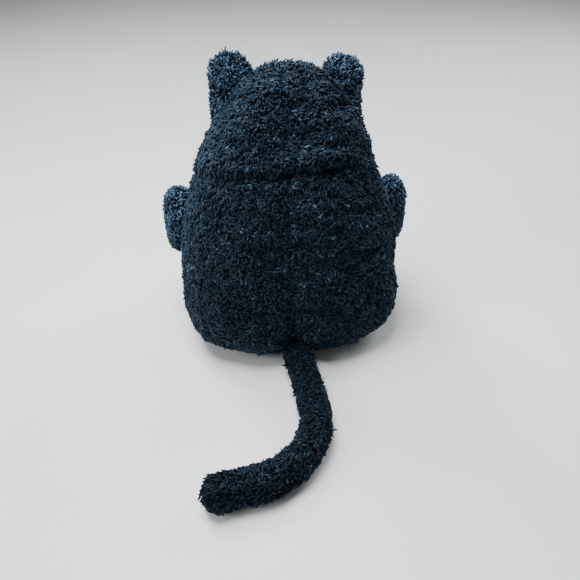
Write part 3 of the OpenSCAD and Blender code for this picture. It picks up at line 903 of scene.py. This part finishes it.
def tail_path():
    """The tail's centre and heading at a distance from its root, its joints' distances, its end."""
    root, mid = joint_at("tail_root_lift"), joint_at("tail_mid_sweep")
    bend, tip = joint_at("tail_bend_sweep"), joint_at("tail_tip_sweep")
    run = np.linalg.norm(mid - root)
    radius = np.linalg.norm(tip - bend) / (2 * math.sin(TAIL_TURN / 2))
    arc = radius * TAIL_TURN
    first = math.atan2(mid[1] - root[1], mid[0] - root[0])
    marks = {"root": 0.0, "mid": run, "bend": 2 * run, "tip": 2 * run + arc}
    total = 2 * run + 2 * arc + TAIL_END

    def heading(s):
        return first - np.clip((s - 2 * run) / radius, 0, 2 * TAIL_TURN)

    pace = 0.1 * MM
    fine = np.arange(-12 * MM, total + 1e-9, pace)
    direction = np.stack([np.cos(heading(fine)), np.sin(heading(fine)), 0 * fine], 1)
    centre = np.cumsum(direction * pace, axis=0)
    centre += root - centre[np.searchsorted(fine, 0.0)]

    def at(s):
        return np.array([np.interp(s, fine, centre[:, k]) for k in range(3)])

    return at, heading, marks, total


def ahead_at(heading, s):
    a = heading(s)
    return np.array([math.cos(a), math.sin(a), 0])


def tail_ring(at, heading, s, r, past=0.0):
    """A ring of radius r across the tail, past beyond the place s."""
    angle = 2 * math.pi * (np.arange(48) + 0.5) / 48
    ahead = ahead_at(heading, s)
    side = np.array([-ahead[1], ahead[0], 0])
    circle = np.cos(angle)[:, None] * side + np.sin(angle)[:, None] * np.array([0, 0, 1])
    return at(s) + ahead * past + circle * r


def tail_mesh(at, heading, low, high, fuller_from, round_end):
    """A length of the tail, a little uneven, with a fuller, round end when it is the last."""
    base = TAIL_R - PILE - 0.3 * MM
    rings = []
    for s in np.linspace(low, high, int((high - low) / (2 * MM)) + 1):
        swell = 1 + 0.045 * math.sin(s * 150) * math.sin(s * 61 + 1)
        if round_end:
            swell += 0.05 * step(s, fuller_from, high)
        rings.append(tail_ring(at, heading, s, base * swell))
    if round_end:
        r = base * 1.05
        for a in np.linspace(0, math.pi / 2 - 0.08, 12)[1:]:
            rings.append(tail_ring(at, heading, high, r * math.cos(a), r * math.sin(a)))
    verts, polys = tube_grid(rings)
    verts[:, 2] = np.maximum(verts[:, 2], 1.5 * MM)
    return verts, polys


def make_tail():
    at, heading, marks, total = tail_path()
    joints = [marks[name] for name in ("root", "mid", "bend", "tip")]
    cuts = [-10 * MM] + [(a + b) / 2 for a, b in zip(joints, joints[1:])] + [total]
    for number, name in enumerate(marks):
        low, high, last = cuts[number], cuts[number + 1], name == "tip"

        def lengthwise(points, low=low, high=high):
            places = np.linspace(low, high, 60)
            centres = np.stack([at(s) for s in places])[:, :2]
            far = np.linalg.norm(points[:, None, :2] - centres[None], axis=2)
            a = heading(places[np.argmin(far, 1)])
            return np.stack([np.cos(a), np.sin(a), 0 * a], 1)

        def off_cut_ends(c, low=low, high=high, last=last):
            past_low = (c - at(low)) @ ahead_at(heading, low) > 0.3 * MM
            before_high = (c - at(high)) @ ahead_at(heading, high) < -0.3 * MM
            return (past_low & (before_high | last)).astype(float)

        verts, polys = tail_mesh(at, heading, low, high, marks["tip"], last)
        obj = furry(f"tail_{name}_pile", verts, polys, comb=lengthwise, seed=161 + 10 * number,
                    gap=1.7, length=3.8 if last else 3.1, radius=0.76, keep=off_cut_ends)
        parts = ("skin",) if number < 2 else ("upper", "under")
        finish_piece(obj, SHADED_TAIL_FUR, None, [f"tail_{name}_{part}" for part in parts])
        centre, reach = at(marks[name]), ahead_at(heading, marks[name]) * 10 * MM
        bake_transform(obj)


# ---------------------------------------------------------------- face
def facing(ring, out):
    """A ring from the level plane stood up to face along -Y, out in front."""
    return np.stack([ring[:, 0], np.full(len(ring), -out), ring[:, 1]], 1)


def make_muzzle():
    """Two soft pads with a cleft between them."""
    low, high = (np.array(v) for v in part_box("muzzle"))
    centre = np.array([0, MUZZLE_CENTRE[1], (low[2] + high[2]) / 2])
    reach = centre[1] - low[1]
    rings = []
    for a in np.linspace(0.0, math.pi / 2 - 0.05, 22):
        w = reach * 0.98 * math.cos(a)
        rings.append(facing(oval_ring(72, w * 1.06, w * 0.86, 0, 2.2), reach * math.sin(a)) + centre)
    verts, polys = tube_grid(rings)
    local = verts - centre
    cleft = bump(local[:, 0], 2.6 * MM) * step(-local[:, 2], -8 * MM, 4 * MM)
    verts[:, 1] += 2.4 * MM * cleft + 1.6 * MM
    obj = furry("muzzle_pile", leaned(verts), polys, seed=201, gap=1.9, length=3.4, radius=0.72)
    finish_piece(obj, FACE_FUR, "head", ("muzzle",))


def lathe(profile):
    """Solid of revolution round -Y, from (radius, distance along -Y) points."""
    return tube_grid([facing(oval_ring(48, r, r, 0), out) for r, out in profile])


def eye_material():
    """Amber iris with a tall dark pupil under a clear dome, drawn round the eye's own axis."""
    paint = Paint("eye")
    across, up = paint.attribute("eye_x"), paint.attribute("eye_z")

    def maths(kind, a, b=None):
        node = paint.nodes.new("ShaderNodeMath")
        node.operation = kind
        paint.put(node.inputs[0], a)
        if b is not None:
            paint.put(node.inputs[1], b)
        return node.outputs[0]

    def distance(a, b):
        return maths("SQRT", maths("ADD", maths("MULTIPLY", a, a), maths("MULTIPLY", b, b)))

    iris = paint.ramp(distance(across, up), [
        (0.0, (0.5, 0.25, 0.015)), (0.4, (0.46, 0.29, 0.02)),
        (0.66, (0.17, 0.14, 0.012)), (0.8, (0.004, 0.004, 0.005))])
    iris = paint.times(iris, paint.ramp(paint.noise(900.0), [(0.35, 0.7), (0.65, 1.15)]))
    narrow = maths("MULTIPLY", across, 1.7)
    pupil = paint.ramp(distance(narrow, up), [(0.6, 1.0), (0.66, 0.0)])
    paint.set(Base_Color=paint.mix("MIX", pupil, iris, (0.003, 0.003, 0.004)), Roughness=0.12,
              Specular_IOR_Level=0.3, Coat_Weight=0.35, Coat_Roughness=0.02)
    return paint.material


def make_eyes():
    """Each eye is a dome over a thin flange, with the root of its shank behind."""
    eye = eye_material()
    r, rise, flange = 7.0 * MM, 4.2 * MM, 0.6 * MM
    profile = [(0.35 * r, -6 * MM), (0.35 * r, -1.2 * MM), (r * 0.96, -1.0 * MM),
               (r * 1.02, -0.4 * MM), (r * 1.02, 0.2 * MM), (r * 0.97, flange)]
    profile += [(r * 0.95 * math.cos(a), flange + (rise - flange) * math.sin(a))
                for a in np.linspace(0.12, math.pi / 2 - 0.05, 16)]
    verts, polys = lathe(profile)
    pattern = {"eye_x": verts[:, 0] / r, "eye_z": verts[:, 2] / r}
    seat = np.array([27 * MM, -46.8 * MM, 205 * MM])
    placed = turned(turned(verts, -22, "X"), 16, "Z") + seat
    for side, s in SIDES:
        v, p = sided(placed, polys, s)
        obj = make_mesh(f"eye_{side}_dome", leaned(v), p, pattern)
        finish_piece(obj, eye, "head", (f"eye_{side}",))


def make_nose():
    """Rounded triangle with a soft dome, and the root of its shank behind."""
    angle = 2 * math.pi * (np.arange(60) + 0.5) / 60
    w = 6.9 * MM * (1 + 0.13 * np.cos(3 * (angle + math.pi / 2)))
    shape = np.stack([w * 1.08 * np.cos(angle), w * 0.86 * np.sin(angle)], 1)
    dome = ((0.4, -7), (0.45, -1.5), (0.97, -1.2), (1.0, -0.2), (0.98, 0.9), (0.92, 1.8),
            (0.82, 2.6), (0.68, 3.3), (0.5, 3.8), (0.3, 4.1), (0.1, 4.2))
    verts, polys = tube_grid([facing(shape * k, out * MM) for k, out in dome])
    tilt = 20
    out = np.array([0, -math.cos(math.radians(tilt)), math.sin(math.radians(tilt))])
    seat = MUZZLE_CENTRE + (MUZZLE_R - 1.2 * MM) * out
    obj = make_mesh("nose_dome", leaned(turned(verts, -tilt, "X") + seat), polys)
    finish_piece(obj, NOSE, "head", ("nose",))


def thread_along(points, r=0.75 * MM, count=10, twist=0.16 * MM):
    """A thread as two-ply tube through points."""
    points = np.array(points)
    ahead = unit(np.gradient(points, axis=0))
    up = unit(np.cross(ahead, np.array([0, 0.3, 1.0])))
    side = np.cross(ahead, up)
    rings = []
    angle = 2 * math.pi * np.arange(count) / count
    for i, (c, u, v) in enumerate(zip(points, up, side)):
        r_here = r + twist * np.cos(2 * angle + i * 0.9)
        across = (np.cos(angle) * r_here)[:, None] * u
        rings.append(c + across + (np.sin(angle) * r_here)[:, None] * v)
    return tube_grid(rings)


def make_mouth():
    """A stitch down from the nose, and one curving up each side of its end."""

    def on_muzzle(yaw, pitch):
        return MUZZLE_CENTRE + (MUZZLE_R + 1.3 * MM) * np.array([
            math.sin(yaw) * math.cos(pitch), -math.cos(yaw) * math.cos(pitch), math.sin(pitch)])

    fall, spread = -0.42, 0.62
    lines = [[on_muzzle(0, pitch) for pitch in np.linspace(0.02, fall, 26)]]
    for _, s in SIDES:
        lines.append([on_muzzle(s * spread * t, fall - 0.16 * (math.sin(math.pi * t) - t * t))
                      for t in np.linspace(0, 1, 34)])
    verts, quads, tris, start = [], [], [], 0
    for line in lines:
        v, polys = thread_along(line)
        verts.append(v)
        quads.append(polys[0] + start)
        tris += [p + start for p in polys[1:]]
        start += len(v)
    obj = make_mesh("mouth_thread", leaned(np.vstack(verts)), [np.vstack(quads), np.vstack(tris)])
    finish_piece(obj, THREAD, "head", ("mouth_stitching",))


# ---------------------------------------------------------------- base and what is inside
def make_base():
    half_x, half_y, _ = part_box("base_panel")[1]
    section = ((0.3, 0.9), (0.75, 0.5), (0.93, 0.25), (0.975, 0.3), (1.0, 0.9), (1.0, 1.8),
               (0.96, 2.6), (0.7, 2.9), (0.3, 3.0))
    rings = [oval_ring(160, half_x * k, half_y * k, z * MM, SQUARENESS) for k, z in section]
    obj = make_mesh("base_cloth_panel", *tube_grid(rings))
    finish_piece(obj, BASE_CLOTH, "torso", ("base_panel",))


def make_filling():
    """Lumpy fibre that fills the coat, clear of its folds, in two parts that meet at the neck."""
    deep, floor, split, clear_of_arms = 13 * MM, 7 * MM, 176 * MM, 68 * MM
    for name, low, high in (("body", 0.0, split - 1.5 * MM), ("head", split, HEIGHT)):
        rings = []
        for w, z in gumdrop_profile(4.5 * MM):
            z = min(max(z, floor), HEIGHT - deep)
            if low <= z <= high:
                rings.append(gumdrop_ring(max(w - deep, 1.5 * MM),
                                          max(w * FLATNESS - deep, 1.2 * MM), z, 110))
        verts, polys = tube_grid(rings)
        out = vertex_normals(verts, triangles(polys))
        lumps = 1.6 * MM * waves(verts, 24 * MM, 31, 12) + 0.8 * MM * waves(verts, 8 * MM, 32, 12)
        verts = verts + out * lumps[:, None]
        verts[:, 2] = np.maximum(verts[:, 2], floor - 1 * MM)
        x = verts[:, 0]
        verts[:, 0] = np.where(arm_press(verts) > 0.05, np.clip(x, -clear_of_arms, clear_of_arms), x)
        obj = make_mesh(f"{name}_fibre", leaned(verts), polys)
        finish_piece(obj, FILLING, None, (f"{name}_stuffing",))
        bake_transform(obj)


def dress_inner_nodes():
    """Materials for the CAD pieces that stay, all inside the skin."""
    finishes = [(WASHER, ["eye_washer_left", "eye_washer_right", "nose_washer"]),
                (BAG_CLOTH, ["pellet_bag"]), (PELLET, ["pellets"]),
                (FILLING, [f"tail_{part}_stuffing" for part in ("root", "mid", "bend", "tip")])]
    for limb in ("arm", "leg"):
        finishes.append((FILLING, [f"{limb}_stuffing_{side}" for side, _ in SIDES]))
    for material, names in finishes:
        for name in names:
            mesh = frame["nodes"][name].data
            mesh.materials.clear()
            mesh.materials.append(material)


# ---------------------------------------------------------------- stage
def make_floor():
    paint = Paint("pale_floor")
    paint.set(Base_Color=paint.ramp(paint.noise(3.0), [(0.3, (0.66, 0.655, 0.64)),
                                                       (0.7, (0.7, 0.695, 0.68))]),
              Roughness=0.7)
    half = 15.0
    corners = np.array([(-half, -half, 0), (half, -half, 0), (half, half, 0), (-half, half, 0)])
    obj = make_mesh("floor", corners, [np.array([(0, 1, 2, 3)])])
    obj.data.materials.append(paint.material)


def make_lights():
    """Large soft lights: place, height they aim at on the cat's middle, size, watts and colour."""
    cool, white = (0.93, 0.97, 1.0), (0.95, 0.98, 1.0)
    for name, place, aim, size, watts, colour in (
            ("window", (0.6, -0.85, 1.3), 0.16, 0.7, 25, cool),
            ("key", (0.95, 0.5, 0.75), 0.16, 0.6, 9, white),
            ("side", (-0.95, -0.7, 0.9), 0.14, 0.7, 13, cool),
            ("top", (0.12, 0.06, 0.8), 0.2, 0.45, 12, cool)):
        light = bpy.data.lights.new(name, "AREA")
        light.shape = "DISK"
        light.size, light.energy, light.color = size, watts, colour
        obj = bpy.data.objects.new(name, light)
        obj.location = place
        ahead = Vector((0, 0, aim)) - Vector(place)
        obj.rotation_euler = ahead.to_track_quat("-Z", "Y").to_euler()
        bpy.context.scene.collection.objects.link(obj)
    world = bpy.data.worlds.new("studio")
    world.use_nodes = True
    background = world.node_tree.nodes["Background"]
    background.inputs["Color"].default_value = (0.9, 0.95, 1.0, 1)
    background.inputs["Strength"].default_value = 0.27
    bpy.context.scene.world = world


def make_camera():
    """Behind and above the cat, looking down at it, rolled slightly clockwise."""
    place = Vector((18.0, 433.7, 373.4)) * MM
    look = Vector((-0.0343, -0.7851, -0.6184))
    roll = Matrix.Rotation(math.radians(-1.9), 4, "Z")
    camera = bpy.data.cameras.new("camera")
    camera.sensor_width = 36.0
    camera.lens = 33.517
    camera.clip_start = 0.01
    obj = bpy.data.objects.new("camera", camera)
    turn = look.to_track_quat("-Z", "Y").to_matrix().to_4x4()
    obj.matrix_world = Matrix.Translation(place) @ turn @ roll
    bpy.context.scene.collection.objects.link(obj)
    bpy.context.scene.camera = obj


make_camera()
make_lights()
make_floor()
make_coat()
make_arms()
make_legs()
make_ears()
make_tail()
make_muzzle()
make_eyes()
make_nose()
make_mouth()
make_base()
make_filling()
dress_inner_nodes()
